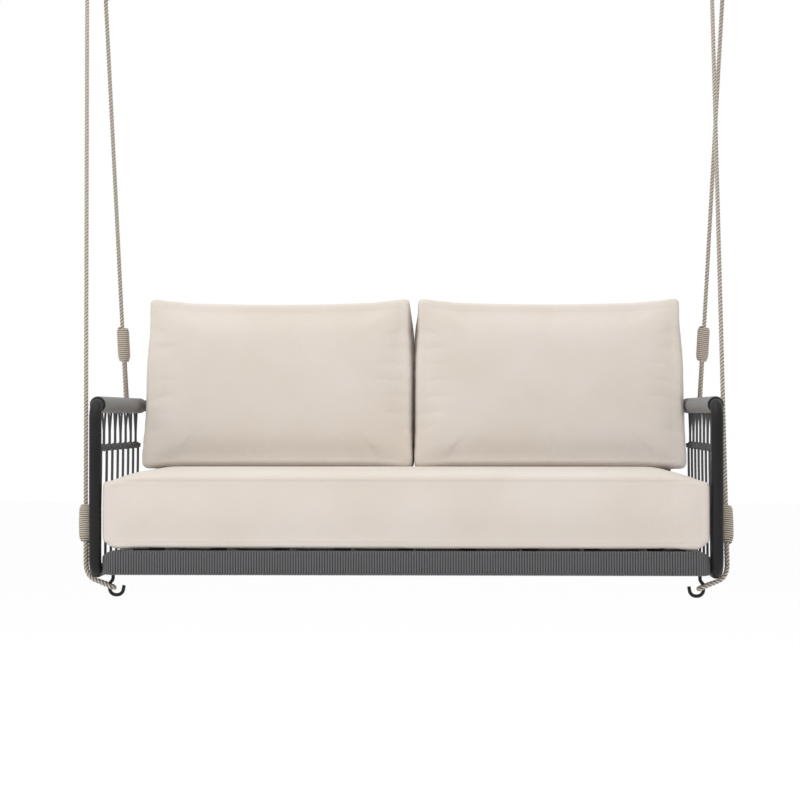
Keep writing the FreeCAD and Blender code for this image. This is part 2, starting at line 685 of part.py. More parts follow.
# Hangers: a plate on the ceiling with two cheeks, a bolt through them, and a link on a bush that
# carries the D-ring.
CHEEK_GAP, CHEEK, CHEEK_RADIUS = "16", "5", "17"
LINK_THICK, LINK_RADIUS = "8", "15"
CHEEK_LENGTH = "(Sizes.pivot_drop - Sizes.plate_thickness)"
HEAD, NUT = "7", "8"
bolts, nuts, bushes = [], [], []
for name, side in SIDES:
    across = f"{side} * Sizes.hang_side"
    plate = box(f"plate_{name}", ("Sizes.plate_width", "Sizes.plate_length", "Sizes.plate_thickness"),
                (f"{across} - Sizes.plate_width / 2", "-Sizes.plate_length / 2",
                 "-Sizes.plate_thickness"))
    solids = [plate]
    for way, start in (("inner", f"{across} - {CHEEK_GAP} / 2 - {CHEEK}"),
                       ("outer", f"{across} + {CHEEK_GAP} / 2")):
        solids.append(box(f"cheek_{way}_{name}", (CHEEK, f"2 * {CHEEK_RADIUS}", CHEEK_LENGTH),
                          (start, f"-{CHEEK_RADIUS}", "-Sizes.pivot_drop")))
        solids.append(rod(f"cheek_end_{way}_{name}", f"2 * {CHEEK_RADIUS}", CHEEK,
                          (start, "0", "-Sizes.pivot_drop"), ALONG_X))
    holes = [rod(f"pin_hole_{name}", "Sizes.pin_diameter + 0.2", "40",
                 (f"{across} - 20", "0", "-Sizes.pivot_drop"), ALONG_X)]
    for end in (-1, 1):
        holes.append(rod(f"screw_hole_{name}_{'front' if end < 0 else 'rear'}", "Sizes.screw_hole",
                         "2 * Sizes.plate_thickness",
                         (across, f"{end} * Sizes.screw_spacing / 2", "-1.5 * Sizes.plate_thickness")))
    bracket = cut(f"bracket_{name}", fuse(f"bracket_solid_{name}", solids),
                  fuse(f"bracket_holes_{name}", holes))
    node(f"ceiling_bracket_{name}", [bracket], CEILING)

    head_start = f"{across} - {CHEEK_GAP} / 2 - {CHEEK} - {HEAD}"
    pin_length = f"{HEAD} + {CHEEK_GAP} + 2 * {CHEEK} + {NUT} + 3"
    pin = rod(f"pin_{name}", "Sizes.pin_diameter", pin_length,
              (head_start, "0", "-Sizes.pivot_drop"), ALONG_X)
    head = rod(f"pin_head_{name}", "1.8 * Sizes.pin_diameter", HEAD,
               (head_start, "0", "-Sizes.pivot_drop"), ALONG_X)
    bolts.append(fuse(f"pivot_bolt_{name}", [pin, head]))
    nut_start = f"{across} + {CHEEK_GAP} / 2 + {CHEEK}"
    hexagon = primitive("Prism", f"nut_blank_{name}",
                        {"Circumradius": "0.95 * Sizes.pin_diameter", "Height": NUT},
                        (nut_start, "0", "-Sizes.pivot_drop"), ALONG_X)
    thread = rod(f"nut_bore_{name}", "Sizes.pin_diameter", NUT,
                 (nut_start, "0", "-Sizes.pivot_drop"), ALONG_X)
    nuts.append(cut(f"pivot_nut_{name}", hexagon, thread))
    bushes.append(tube(f"pivot_bush_{name}", "Sizes.bush_diameter", "Sizes.pin_diameter + 0.1", "14",
                       (f"{across} - 7", "0", "-Sizes.pivot_drop"), ALONG_X))

    link_start = f"{across} - {LINK_THICK} / 2"
    link_foot = "-Sizes.pivot_drop - Sizes.link_length"
    link = fuse(f"link_solid_{name}", [
        box(f"link_web_{name}", (LINK_THICK, f"2 * {LINK_RADIUS}", "Sizes.link_length"),
            (link_start, f"-{LINK_RADIUS}", link_foot)),
        rod(f"link_upper_eye_{name}", f"2 * {LINK_RADIUS}", LINK_THICK,
            (link_start, "0", "-Sizes.pivot_drop"), ALONG_X),
        rod(f"link_lower_eye_{name}", f"2 * {LINK_RADIUS}", LINK_THICK,
            (link_start, "0", link_foot), ALONG_X),
    ])
    bores = fuse(f"link_bores_{name}", [
        rod(f"bush_bore_{name}", "Sizes.bush_diameter", "20",
            (f"{across} - 10", "0", "-Sizes.pivot_drop"), ALONG_X),
        rod(f"ring_bore_{name}", f"{2 * LINK_BORE}", "20", (f"{across} - 10", "0", link_foot), ALONG_X),
    ])
    node(f"hanger_link_{name}", [cut(f"link_{name}", link, bores)], CEILING)

    ring_level = f"{link_foot} - {LINK_BORE} + Sizes.ring_rod / 2 - Sizes.ring_radius"
    bow = primitive("Torus", f"ring_bow_{name}",
                    {"Radius1": "Sizes.ring_radius", "Radius2": "Sizes.ring_rod / 2"},
                    (across, "0", ring_level), Rotation(Vector(1, 0, 0), 90))
    bow.Angle3 = 180
    bar = rod(f"ring_bar_{name}", "Sizes.ring_rod", "2 * Sizes.ring_radius",
              (f"{across} - Sizes.ring_radius", "0", ring_level), ALONG_X)
    ends = [
        primitive("Sphere", f"ring_corner_{name}_{'in' if end < 0 else 'out'}",
                  {"Radius": "Sizes.ring_rod / 2"},
                  (f"{across} + {end} * Sizes.ring_radius", "0", ring_level))
        for end in (-1, 1)
    ]
    node(f"d_ring_{name}", [fuse(f"ring_{name}", [bow, bar, *ends])], CEILING)
node("pivot_bolts", bolts, CEILING)
node("pivot_nuts", nuts, CEILING)
node("pivot_bushes", bushes, CEILING)


# Every feature must have worked before anything is written.
doc.recompute()
for thing in doc.Objects:
    if "Invalid" in thing.State or "Error" in thing.State:
        raise RuntimeError(f"{thing.Label} failed: {thing.State}")
os.makedirs("parts", exist_ok=True)
for part in nodes:
    if part.Shape.isNull() or not part.Shape.isValid():
        raise RuntimeError(f"{part.Label} has no valid shape")
for part in nodes:
    part.Shape.exportStep(f"parts/{part.Label}.step")
print(f"{len(nodes)} sub-parts written")
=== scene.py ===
import math
import random

import bpy
import numpy as np
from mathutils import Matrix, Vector


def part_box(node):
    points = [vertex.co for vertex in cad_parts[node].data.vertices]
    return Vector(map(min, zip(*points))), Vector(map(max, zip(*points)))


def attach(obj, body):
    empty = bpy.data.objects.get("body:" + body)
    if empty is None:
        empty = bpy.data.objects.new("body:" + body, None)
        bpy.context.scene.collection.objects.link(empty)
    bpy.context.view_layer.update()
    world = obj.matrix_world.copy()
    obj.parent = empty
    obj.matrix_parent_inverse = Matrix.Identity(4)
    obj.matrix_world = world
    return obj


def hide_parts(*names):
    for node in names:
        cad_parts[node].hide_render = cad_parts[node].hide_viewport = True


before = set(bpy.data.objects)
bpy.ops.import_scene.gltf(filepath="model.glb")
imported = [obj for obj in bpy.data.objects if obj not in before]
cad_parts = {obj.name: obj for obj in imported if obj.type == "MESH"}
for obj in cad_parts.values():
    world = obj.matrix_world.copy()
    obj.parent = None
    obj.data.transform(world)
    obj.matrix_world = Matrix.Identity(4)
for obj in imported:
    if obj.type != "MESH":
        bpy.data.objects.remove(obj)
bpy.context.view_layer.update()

# Camera, floor and light: a level view from just right of the middle, at arm height, in a white room
# with soft light from above and in front. The floor lies a metre under the swing.
post_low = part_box("front_post_left")[0]
seat_front, seat_floor = post_low.y, post_low.z
seat_middle = (post_low.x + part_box("front_post_right")[1].x) / 2
view_distance, view_side, view_height = 5.383, 0.152, 0.393
view_turn, view_tilt = math.radians(1.74), math.radians(0.39)
bpy.ops.object.camera_add(
    location=(seat_middle + view_side, seat_front - view_distance, seat_floor + view_height),
    rotation=(math.radians(90) + view_tilt, 0, view_turn),
)
camera = bpy.context.object
camera.data.lens = 101.2
camera.data.clip_end = 200
bpy.context.scene.camera = camera
bpy.context.scene.view_settings.view_transform = "Standard"

floor_drop = 1.0
bpy.ops.mesh.primitive_plane_add(size=60, location=(0, 0, seat_floor - floor_drop))
floor = bpy.context.object
floor.name = "studio_floor"
floor_paint = bpy.data.materials.new("pale_floor")
floor_paint.use_nodes = True
floor_shader = floor_paint.node_tree.nodes["Principled BSDF"]
floor_shader.inputs["Base Color"].default_value = (0.98, 0.98, 0.98, 1)
floor_shader.inputs["Roughness"].default_value = 0.9
floor.data.materials.append(floor_paint)

room = bpy.data.worlds.new("white_room")
bpy.context.scene.world = room
room.use_nodes = True
room.node_tree.nodes["Background"].inputs["Color"].default_value = (1, 1, 1, 1)
room.node_tree.nodes["Background"].inputs["Strength"].default_value = 1.0


def soft_light(name, place, target, width, height, watts):
    """A large rectangular lamp that faces a point."""
    bpy.ops.object.light_add(type="AREA", location=place)
    lamp = bpy.context.object
    lamp.name = name
    lamp.data.shape = "RECTANGLE"
    lamp.data.size, lamp.data.size_y, lamp.data.energy = width, height, watts
    lamp.rotation_euler = (Vector(target) - Vector(place)).to_track_quat("-Z", "Y").to_euler()


lit_point = (0, 0, seat_floor + 0.35)
soft_light("overhead_light", (-0.6, -1.2, seat_floor + 3.4), lit_point, 3.0, 2.4, 55)
soft_light("front_light", (-2.6, -3.6, seat_floor + 1.9), lit_point, 2.0, 2.0, 28)

# Ropes: four twisted three-strand ropes, 12 mm thick. Each is spliced round a metal thimble on the
# D-ring above and runs taut to a hook on the seat, where it doubles back into its whipping.
rope_width, strand_gap = 0.012, 0.0063
ring_side, ring_spread, rope_side = 0.810, 0.020, 0.775
eye_drop, eye_reach = 0.133, 0.0182
whipping_start, whipping_length, eye_leg = 0.062, 0.096, 0.024
front_depth, rear_depth, arm_middle = 0.050, 0.684, 0.419
front_knot_level, rear_knot_level = 0.083, 0.536
under_level, hook_side, bight_level, hook_rod = 0.0022, 0.7173, -0.0247, 0.0085


def seat_point(x, depth, height):
    """A point given from the bottom front of the side frames, midway between them."""
    return Vector((seat_middle + x, seat_front + depth, seat_floor + height))


class RopeLine:
    """The line of one rope: down from the middle of its thimble, and sideways across its strands."""

    def __init__(self, top, bottom):
        self.top = top
        self.length = (bottom - top).length
        self.down = (bottom - top).normalized()
        backward = Vector((0, 1, 0))
        self.across = (backward - self.down * backward.dot(self.down)).normalized()
        self.wide = self.across.cross(self.down)

    def at(self, down, across=0.0):
        """A point so far down the line and so far across it."""
        return self.top + self.down * down + self.across * across


def rope_top(line):
    """The route from the tail in the upper whipping, over the thimble and into the long run."""
    return [
        line.at(whipping_start + whipping_length - 0.008, strand_gap),
        line.at(whipping_start - 0.002, strand_gap),
        line.at(eye_leg, eye_reach),
        line.at(-eye_reach, eye_reach),
        line.at(-eye_reach, -eye_reach),
        line.at(eye_leg, -eye_reach),
        line.at(whipping_start - 0.002, -strand_gap),
        line.at(whipping_start + 0.038, -strand_gap),
    ]


def smooth_route(points):
    """The middle line of a rope: a smooth spline led by its route points, as an array."""
    guide = bpy.data.curves.new("rope_guide", "CURVE")
    guide.dimensions = "3D"
    spline = guide.splines.new("NURBS")
    spline.points.add(len(points) - 1)
    for knot, point in zip(spline.points, points):
        knot.co = (*point, 1)
    spline.order_u = 3
    spline.use_endpoint_u = True
    guide.resolution_u = 24
    holder = bpy.data.objects.new("rope_guide", guide)
    bpy.context.scene.collection.objects.link(holder)
    bpy.context.view_layer.update()
    line = bpy.data.meshes.new_from_object(holder)
    middle = np.array([v.co[:] for v in line.vertices])
    bpy.data.objects.remove(holder)
    bpy.data.meshes.remove(line)
    bpy.data.curves.remove(guide)
    return middle


def even_line(line, step):
    """The same line with points an even step apart."""
    steps = np.linalg.norm(np.diff(line, axis=0), axis=1)
    run = np.concatenate([[0], np.cumsum(steps)])
    stations = np.linspace(0, run[-1], max(3, int(run[-1] / step) + 1))
    return np.stack([np.interp(stations, run, line[:, k]) for k in range(3)], axis=1), stations


def carried_frames(line):
    """Two directions square to a line at each of its points, carried along without spinning."""
    tangents = np.gradient(line, axis=0)
    tangents /= np.linalg.norm(tangents, axis=1)[:, None]
    first = np.cross(tangents[0], (0.0, 0.0, 1.0) if abs(tangents[0][2]) < 0.9 else (1.0, 0.0, 0.0))
    sides = [first / np.linalg.norm(first)]
    for tangent in tangents[1:]:
        side = sides[-1] - tangent * sides[-1].dot(tangent)
        sides.append(side / np.linalg.norm(side))
    sides = np.array(sides)
    return sides, np.cross(tangents, sides)


def facing_frames(line, outward):
    """Two directions square to a line, the first as near as it can be to the given one."""
    tangents = np.gradient(line, axis=0)
    tangents /= np.linalg.norm(tangents, axis=1)[:, None]
    side = outward - tangents * (outward * tangents).sum(axis=1)[:, None]
    side /= np.linalg.norm(side, axis=1)[:, None]
    return side, np.cross(tangents, side)


def corded(name, lines, radius, facets, outward=None):
    """One mesh of round cords along the given lines, with metres along and turns round as its UV."""
    points, faces, uvs = [], [], []
    angles = np.arange(facets) * 2 * math.pi / facets
    for number, line in enumerate(lines):
        start, count = sum(len(p) for p in points), len(line)
        radii = np.broadcast_to(np.asarray(radius, float), (count,))[:, None, None]
        side, up = carried_frames(line) if outward is None else facing_frames(line, outward[number])
        ring = side[:, None] * np.cos(angles)[None, :, None] + up[:, None] * np.sin(angles)[None, :, None]
        points.append((line[:, None] + ring * radii).reshape(-1, 3))
        steps = np.linalg.norm(np.diff(line, axis=0), axis=1)
        run = np.concatenate([[0], np.cumsum(steps)])
        for i in range(count - 1):
            here = start + i * facets
            for k in range(facets):
                after = (k + 1) % facets
                faces.append((here + k, here + after, here + facets + after, here + facets + k))
                low, high = k / facets, (k + 1) / facets
                uvs += [(run[i], low), (run[i], high), (run[i + 1], high), (run[i + 1], low)]
        last = start + (count - 1) * facets
        faces.append(tuple(start + k for k in reversed(range(facets))))
        faces.append(tuple(last + k for k in range(facets)))
        uvs += [(0, 0)] * facets + [(run[-1], 0)] * facets
    mesh = bpy.data.meshes.new(name)
    mesh.from_pydata(np.concatenate(points).tolist(), [], faces)
    layer = mesh.uv_layers.new(name="along_cord")
    layer.data.foreach_set("uv", np.array(uvs, float).ravel())
    mesh.shade_smooth()
    piece = bpy.data.objects.new(name, mesh)
    bpy.context.scene.collection.objects.link(piece)
    return piece


def twisted(line, width, lay, strands=3, step=0.0028):
    """The middle lines of strands laid right-handed round a rope's own line, and where they face."""
    line, stations = even_line(line, step)
    side, up = carried_frames(line)
    laid, facing = [], []
    for strand in range(strands):
        turn = (2 * math.pi * (stations / lay + strand / strands))[:, None]
        facing.append(side * np.cos(turn) + up * np.sin(turn))
        laid.append(line + width * 0.245 * facing[-1])
    return laid, facing


def twist_paint(name, pale, flank_shade, deep, reach, yarn_length):
    """Fibre cord: pale crowns running into painted shade on the flanks and in the grooves, with the yarns of
    each strand showing.
    """
    paint = bpy.data.materials.new(name)
    paint.use_nodes = True
    nodes, links = paint.node_tree.nodes, paint.node_tree.links
    shader = nodes["Principled BSDF"]
    where = nodes.new("ShaderNodeTexCoord")
    around = nodes.new("ShaderNodeUVMap")
    around.uv_map = "along_cord"
    split = nodes.new("ShaderNodeSeparateXYZ")
    links.new(around.outputs["UV"], split.inputs["Vector"])
    groove_shade_share = nodes.new("ShaderNodeMath")
    groove_shade_share.operation = "PINGPONG"
    groove_shade_share.inputs[1].default_value = 0.5
    links.new(split.outputs["Y"], groove_shade_share.inputs[0])
    yarns = nodes.new("ShaderNodeTexWave")
    yarns.wave_type, yarns.bands_direction = "BANDS", "X"
    yarns.inputs["Scale"].default_value = 1.0
    yarns.inputs["Distortion"].default_value = 1.5
    yarns.inputs["Detail"].default_value = 2
    slanted = nodes.new("ShaderNodeCombineXYZ")
    along = nodes.new("ShaderNodeMath")
    along.operation = "MULTIPLY_ADD"
    along.inputs[1].default_value = 0.32 / yarn_length
    links.new(split.outputs["X"], along.inputs[0])
    round_yarns = nodes.new("ShaderNodeMath")
    round_yarns.operation = "MULTIPLY"
    round_yarns.inputs[1].default_value = 1.6
    links.new(split.outputs["Y"], round_yarns.inputs[0])
    links.new(round_yarns.outputs["Value"], along.inputs[2])
    links.new(along.outputs["Value"], slanted.inputs["X"])
    links.new(slanted.outputs["Vector"], yarns.inputs["Vector"])
    fibres = nodes.new("ShaderNodeTexNoise")
    fibres.inputs["Scale"].default_value = 700
    fibres.inputs["Detail"].default_value = 4
    links.new(where.outputs["Object"], fibres.inputs["Vector"])
    uneven = nodes.new("ShaderNodeMath")
    uneven.operation = "MULTIPLY_ADD"
    uneven.inputs[1].default_value = 0.14
    links.new(fibres.outputs["Fac"], uneven.inputs[0])
    links.new(groove_shade_share.outputs["Value"], uneven.inputs[2])
    # Painted shade: pale at each strand's crown, then the flank colour and the deep colour towards the
    # groove.
    tone = nodes.new("ShaderNodeValToRGB")
    tone.color_ramp.elements[0].position, tone.color_ramp.elements[0].color = 0.07, (*pale, 1)
    tone.color_ramp.elements[1].position, tone.color_ramp.elements[1].color = reach + 0.10, (*deep, 1)
    tone.color_ramp.elements.new(reach).color = (*flank_shade, 1)
    links.new(uneven.outputs["Value"], tone.inputs["Fac"])
    shaded = nodes.new("ShaderNodeMix")
    shaded.data_type, shaded.blend_type = "RGBA", "MULTIPLY"
    shaded.inputs["Factor"].default_value = 0.35
    links.new(tone.outputs["Color"], shaded.inputs["A"])
    links.new(yarns.outputs["Color"], shaded.inputs["B"])
    links.new(shaded.outputs["Result"], shader.inputs["Base Color"])
    raised = nodes.new("ShaderNodeBump")
    raised.inputs["Strength"].default_value = 0.5
    raised.inputs["Distance"].default_value = 0.0005
    links.new(yarns.outputs["Fac"], raised.inputs["Height"])
    links.new(raised.outputs["Normal"], shader.inputs["Normal"])
    shader.inputs["Roughness"].default_value = 0.85
    shader.inputs["Sheen Weight"].default_value = 0.2
    return paint


# The rope's second and third colours are painted shade for the strands' flanks and grooves.
rope_paint = twist_paint("rope_fibre", (0.71, 0.65, 0.575), (0.36, 0.30, 0.24), (0.06, 0.042, 0.03),
                         reach=0.22, yarn_length=0.0045)
strand_radius, rope_lay = rope_width * 0.25, 0.0275
rope_lines, whipping_starts = {}, {}
for hand, side in (("left", -1), ("right", 1)):
    front_line = RopeLine(
        Vector((side * ring_side - ring_spread, 0, -eye_drop)),
        seat_point(side * rope_side, front_depth, under_level),
    )
    length = front_line.length
    front_start = length + (front_knot_level - under_level) / front_line.down.z - whipping_length
    loop = hook_rod / 2 + rope_width / 2 + 0.001
    bight = side * (hook_side - loop)
    front_points = rope_top(front_line) + [
        front_line.at(length - 0.070, -strand_gap),
        front_line.at(length, -strand_gap),
        seat_point(bight + side * 0.020, front_depth - loop, bight_level + 0.009),
        seat_point(bight, front_depth - loop, bight_level),
        seat_point(bight, front_depth + loop, bight_level),
        seat_point(bight + side * 0.020, front_depth + loop, bight_level + 0.009),
        front_line.at(length, strand_gap),
        front_line.at(length - 0.070, strand_gap),
        front_line.at(front_start + 0.008, strand_gap),
    ]
    rope_lines[f"rope_front_{hand}"] = (front_line, front_points)

    rear_line = RopeLine(
        Vector((side * ring_side + ring_spread, 0, -eye_drop)),
        seat_point(side * (rope_side - 0.002), rear_depth, arm_middle),
    )
    length = rear_line.length
    rear_start = length + (rear_knot_level - arm_middle) / rear_line.down.z - whipping_length
    split = rear_start + whipping_length + 0.003
    rear_points = rope_top(rear_line) + [
        rear_line.at(split, -strand_gap),
        rear_line.at(length - 0.012, -loop),
        rear_line.at(length + loop, -loop),
        rear_line.at(length + loop, loop),
        rear_line.at(length - 0.012, loop),
        rear_line.at(split, strand_gap),
        rear_line.at(rear_start + 0.008, strand_gap),
    ]
    rope_lines[f"rope_rear_{hand}"] = (rear_line, rear_points)
    whipping_starts[hand] = (front_start, rear_start)

for name, (line, points) in rope_lines.items():
    middle = smooth_route(points)
    strands, facing = twisted(middle, rope_width, rope_lay)
    rope = corded(f"{name}_strands", strands, strand_radius, 9, facing)
    rope.data.materials.append(rope_paint)
    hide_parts(name)
    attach(rope, "swing")
    length = float(np.linalg.norm(np.diff(middle, axis=0), axis=1).sum())

# Whippings: twine bound tightly round both strands of each rope, a short barrel above the front hook
# and one above the rear hook, and another under each thimble. Each stands for its CAD barrel.
# The twine's second and third colours are painted shade for the flanks of its turns and the grooves between
# them.
whipping_paint = twist_paint("whipping_twine", (0.66, 0.58, 0.49), (0.42, 0.35, 0.285), (0.06, 0.045, 0.033),
                             reach=0.18, yarn_length=0.0032)
twine_pitch, whipping_radius = 0.0054, 0.0170


def bound_barrel(name, line, start, swell, taper):
    """Turns of twine round a rope line, over a solid core, tapering where the barrel ends."""
    turns = int(whipping_length / twine_pitch)
    steps = np.linspace(0, 1, turns * 26 + 1)
    angle = steps * turns * 2 * math.pi
    twine_radius = twine_pitch * 0.50
    foot = np.clip((steps - 0.80) / 0.20, 0, 1) ** 2
    shoulder = np.clip((0.14 - steps) / 0.14, 0, 1) ** 2
    shape = 1 - taper * foot - 0.26 * shoulder + swell * np.sin(steps * math.pi)
    radius = (whipping_radius - twine_radius) * shape
    down = np.array(line.down)
    origin = np.array(line.at(start + twine_radius))
    run = whipping_length - 2 * twine_radius
    facing = (np.array(line.across) * np.cos(angle)[:, None]
              + np.array(line.wide) * np.sin(angle)[:, None])
    path = origin + down * (steps * run)[:, None] + facing * radius[:, None]
    core_steps = np.linspace(0.01, 0.99, 14)
    inner = np.array([origin + down * t * run for t in core_steps])
    core_radius = np.interp(core_steps, steps, radius) * 0.86
    barrel = corded(name, [path], twine_radius, 8, [facing])
    core = corded(f"{name}_core", [inner], core_radius, 20)
    bpy.ops.object.select_all(action="DESELECT")
    core.select_set(True)
    barrel.select_set(True)
    bpy.context.view_layer.objects.active = barrel
    bpy.ops.object.join()
    barrel.data.materials.append(whipping_paint)
    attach(barrel, "swing")
    return barrel


for hand in ("left", "right"):
    for end, start, swell, taper in (("front", whipping_starts[hand][0], 0.10, 0.30),
                                     ("rear", whipping_starts[hand][1], 0.0, 0.34)):
        line = rope_lines[f"rope_{end}_{hand}"][0]
        barrel = bound_barrel(f"whipping_{end}_{hand}_twine", line, start, swell, taper)
        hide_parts(f"whipping_{end}_{hand}")
        upper = bound_barrel(f"upper_whipping_{end}_{hand}", line, whipping_start, 0.0, 0.30)
        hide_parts("upper_whippings")

# Tube frame: aluminium posts, tubes, rails, corner castings, slats and cross beam, welded and
# powder-coated in fine-textured charcoal. These stay as the CAD gives them.
def coat_grain():
    """A node group: the fine orange-peel grain of powder coat, with faint rubbed patches."""
    group = bpy.data.node_groups.new("coat_grain", "ShaderNodeTree")
    group.interface.new_socket("Scale", in_out="INPUT", socket_type="NodeSocketFloat")
    group.interface.new_socket("Depth", in_out="INPUT", socket_type="NodeSocketFloat")
    group.interface.new_socket("Normal", in_out="OUTPUT", socket_type="NodeSocketVector")
    group.interface.new_socket("Patches", in_out="OUTPUT", socket_type="NodeSocketFloat")
    nodes, links = group.nodes, group.links
    given, result = nodes.new("NodeGroupInput"), nodes.new("NodeGroupOutput")
    where = nodes.new("ShaderNodeTexCoord")
    grain = nodes.new("ShaderNodeTexNoise")
    grain.inputs["Detail"].default_value = 4
    patches = nodes.new("ShaderNodeTexNoise")
    patches.inputs["Scale"].default_value = 14
    patches.inputs["Detail"].default_value = 5
    raised = nodes.new("ShaderNodeBump")
    raised.inputs["Distance"].default_value = 0.0004
    links.new(where.outputs["Object"], grain.inputs["Vector"])
    links.new(where.outputs["Object"], patches.inputs["Vector"])
    links.new(given.outputs["Scale"], grain.inputs["Scale"])
    links.new(given.outputs["Depth"], raised.inputs["Strength"])
    links.new(grain.outputs["Fac"], raised.inputs["Height"])
    links.new(raised.outputs["Normal"], result.inputs["Normal"])
    links.new(patches.outputs["Fac"], result.inputs["Patches"])
    return group


grain_group = coat_grain()


def coated_metal(name, colour, worn, roughness, scale, depth, metallic=0.0, specular=0.2):
    """A coated or plated metal: its colour and gloss vary in patches over a fine grain."""
    paint = bpy.data.materials.new(name)
    paint.use_nodes = True
    nodes, links = paint.node_tree.nodes, paint.node_tree.links
    shader = nodes["Principled BSDF"]
    grain = nodes.new("ShaderNodeGroup")
    grain.node_tree = grain_group
    grain.inputs["Scale"].default_value = scale
    grain.inputs["Depth"].default_value = depth
    tone = nodes.new("ShaderNodeValToRGB")
    tone.color_ramp.elements[0].position, tone.color_ramp.elements[0].color = 0.35, (*colour, 1)
    tone.color_ramp.elements[1].position, tone.color_ramp.elements[1].color = 0.75, (*worn, 1)
    gloss = nodes.new("ShaderNodeMapRange")
    gloss.inputs["To Min"].default_value, gloss.inputs["To Max"].default_value = roughness, roughness + 0.15
    links.new(grain.outputs["Patches"], tone.inputs["Fac"])
    links.new(grain.outputs["Patches"], gloss.inputs["Value"])
    links.new(tone.outputs["Color"], shader.inputs["Base Color"])
    links.new(gloss.outputs["Result"], shader.inputs["Roughness"])
    links.new(grain.outputs["Normal"], shader.inputs["Normal"])
    shader.inputs["Metallic"].default_value = metallic
    shader.inputs["Specular IOR Level"].default_value = specular
    return paint


frame_coat = coated_metal("charcoal_powder_coat", (0.007, 0.007, 0.008), (0.012, 0.012, 0.012),
                          roughness=0.40, scale=1400, depth=0.25)


def paint_nodes(material, *names):
    """Gives CAD nodes their finish."""
    for node_name in names:
        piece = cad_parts[node_name]
        piece.data.materials.clear()
        piece.data.materials.append(material)


hands = ("left", "right")
paint_nodes(
    frame_coat,
    *[f"{part}_{hand}" for part in ("front_post", "rear_post", "arm_tube", "floor_tube", "base_rail")
      for hand in hands],
    "base_rail_front", "base_rail_rear", "base_corner_castings", "seat_slats", "cross_beam",
    "back_rail", "rear_floor_tube",
)

# Arm and back windings: round grey braided cord, wound turn against turn over the arm tubes and the
# back rail. One turn is made as a ring, then repeated along the tube with an array.
def cord_weave(name, pale, deep, threads, across):
    """Braided cord: fine diagonal threads, and painted shade darkening the sides of each turn where turns
    meet, which leaves the crowns lighter.
    """
    paint = bpy.data.materials.new(name)
    paint.use_nodes = True
    nodes, links = paint.node_tree.nodes, paint.node_tree.links
    shader = nodes["Principled BSDF"]
    where = nodes.new("ShaderNodeTexCoord")
    threads_noise = nodes.new("ShaderNodeTexNoise")
    threads_noise.inputs["Scale"].default_value = threads
    threads_noise.inputs["Detail"].default_value = 3
    links.new(where.outputs["Object"], threads_noise.inputs["Vector"])
    braid = nodes.new("ShaderNodeTexWave")
    braid.wave_type, braid.bands_direction = "BANDS", "DIAGONAL"
    braid.inputs["Scale"].default_value = across
    braid.inputs["Distortion"].default_value = 2.5
    links.new(where.outputs["Object"], braid.inputs["Vector"])
    mixed = nodes.new("ShaderNodeMath")
    mixed.operation = "MULTIPLY"
    links.new(threads_noise.outputs["Fac"], mixed.inputs[0])
    links.new(braid.outputs["Fac"], mixed.inputs[1])
    tone = nodes.new("ShaderNodeValToRGB")
    tone.color_ramp.elements[0].position, tone.color_ramp.elements[0].color = 0.05, (*deep, 1)
    tone.color_ramp.elements[1].position, tone.color_ramp.elements[1].color = 0.50, (*pale, 1)
    links.new(mixed.outputs["Value"], tone.inputs["Fac"])
    # Painted shade: each turn is darkened towards its sides, where it meets the next turn.
    crease_shade_mask = nodes.new("ShaderNodeAttribute")
    crease_shade_mask.attribute_name = "crease_shade_mask"
    crease_shade_ramp = nodes.new("ShaderNodeValToRGB")
    crease_shade_ramp.color_ramp.elements[0].position, crease_shade_ramp.color_ramp.elements[0].color = 0.45, (1, 1, 1, 1)
    crease_shade_ramp.color_ramp.elements[1].position, crease_shade_ramp.color_ramp.elements[1].color = 0.85, (0.06, 0.06, 0.06, 1)
    links.new(crease_shade_mask.outputs["Fac"], crease_shade_ramp.inputs["Fac"])
    creased = nodes.new("ShaderNodeMix")
    creased.data_type, creased.blend_type = "RGBA", "MULTIPLY"
    creased.inputs["Factor"].default_value = 1.0
    links.new(tone.outputs["Color"], creased.inputs["A"])
    links.new(crease_shade_ramp.outputs["Color"], creased.inputs["B"])
    links.new(creased.outputs["Result"], shader.inputs["Base Color"])
    raised = nodes.new("ShaderNodeBump")
    raised.inputs["Strength"].default_value = 0.5
    raised.inputs["Distance"].default_value = 0.0004
    links.new(mixed.outputs["Value"], raised.inputs["Height"])
    links.new(raised.outputs["Normal"], shader.inputs["Normal"])
    shader.inputs["Roughness"].default_value = 0.8
    shader.inputs["Sheen Weight"].default_value = 0.2
    return paint


grey_cord = cord_weave("wound_grey_cord", (0.226, 0.222, 0.217), (0.086, 0.084, 0.081), 1500, 380)
cord_pitch = 0.0063


def mark_creases(piece, thickness):
    """Notes on a ring of cord how far each point lies to the side of the cord's crown, as the mask for the
    painted shade where turns meet.
    """
    crease_shade_mask = piece.data.attributes.new("crease_shade_mask", "FLOAT", "POINT")
    crease_shade_mask.data.foreach_set("value", [min(1, abs(v.co.z) / (thickness / 2)) for v in piece.data.vertices])


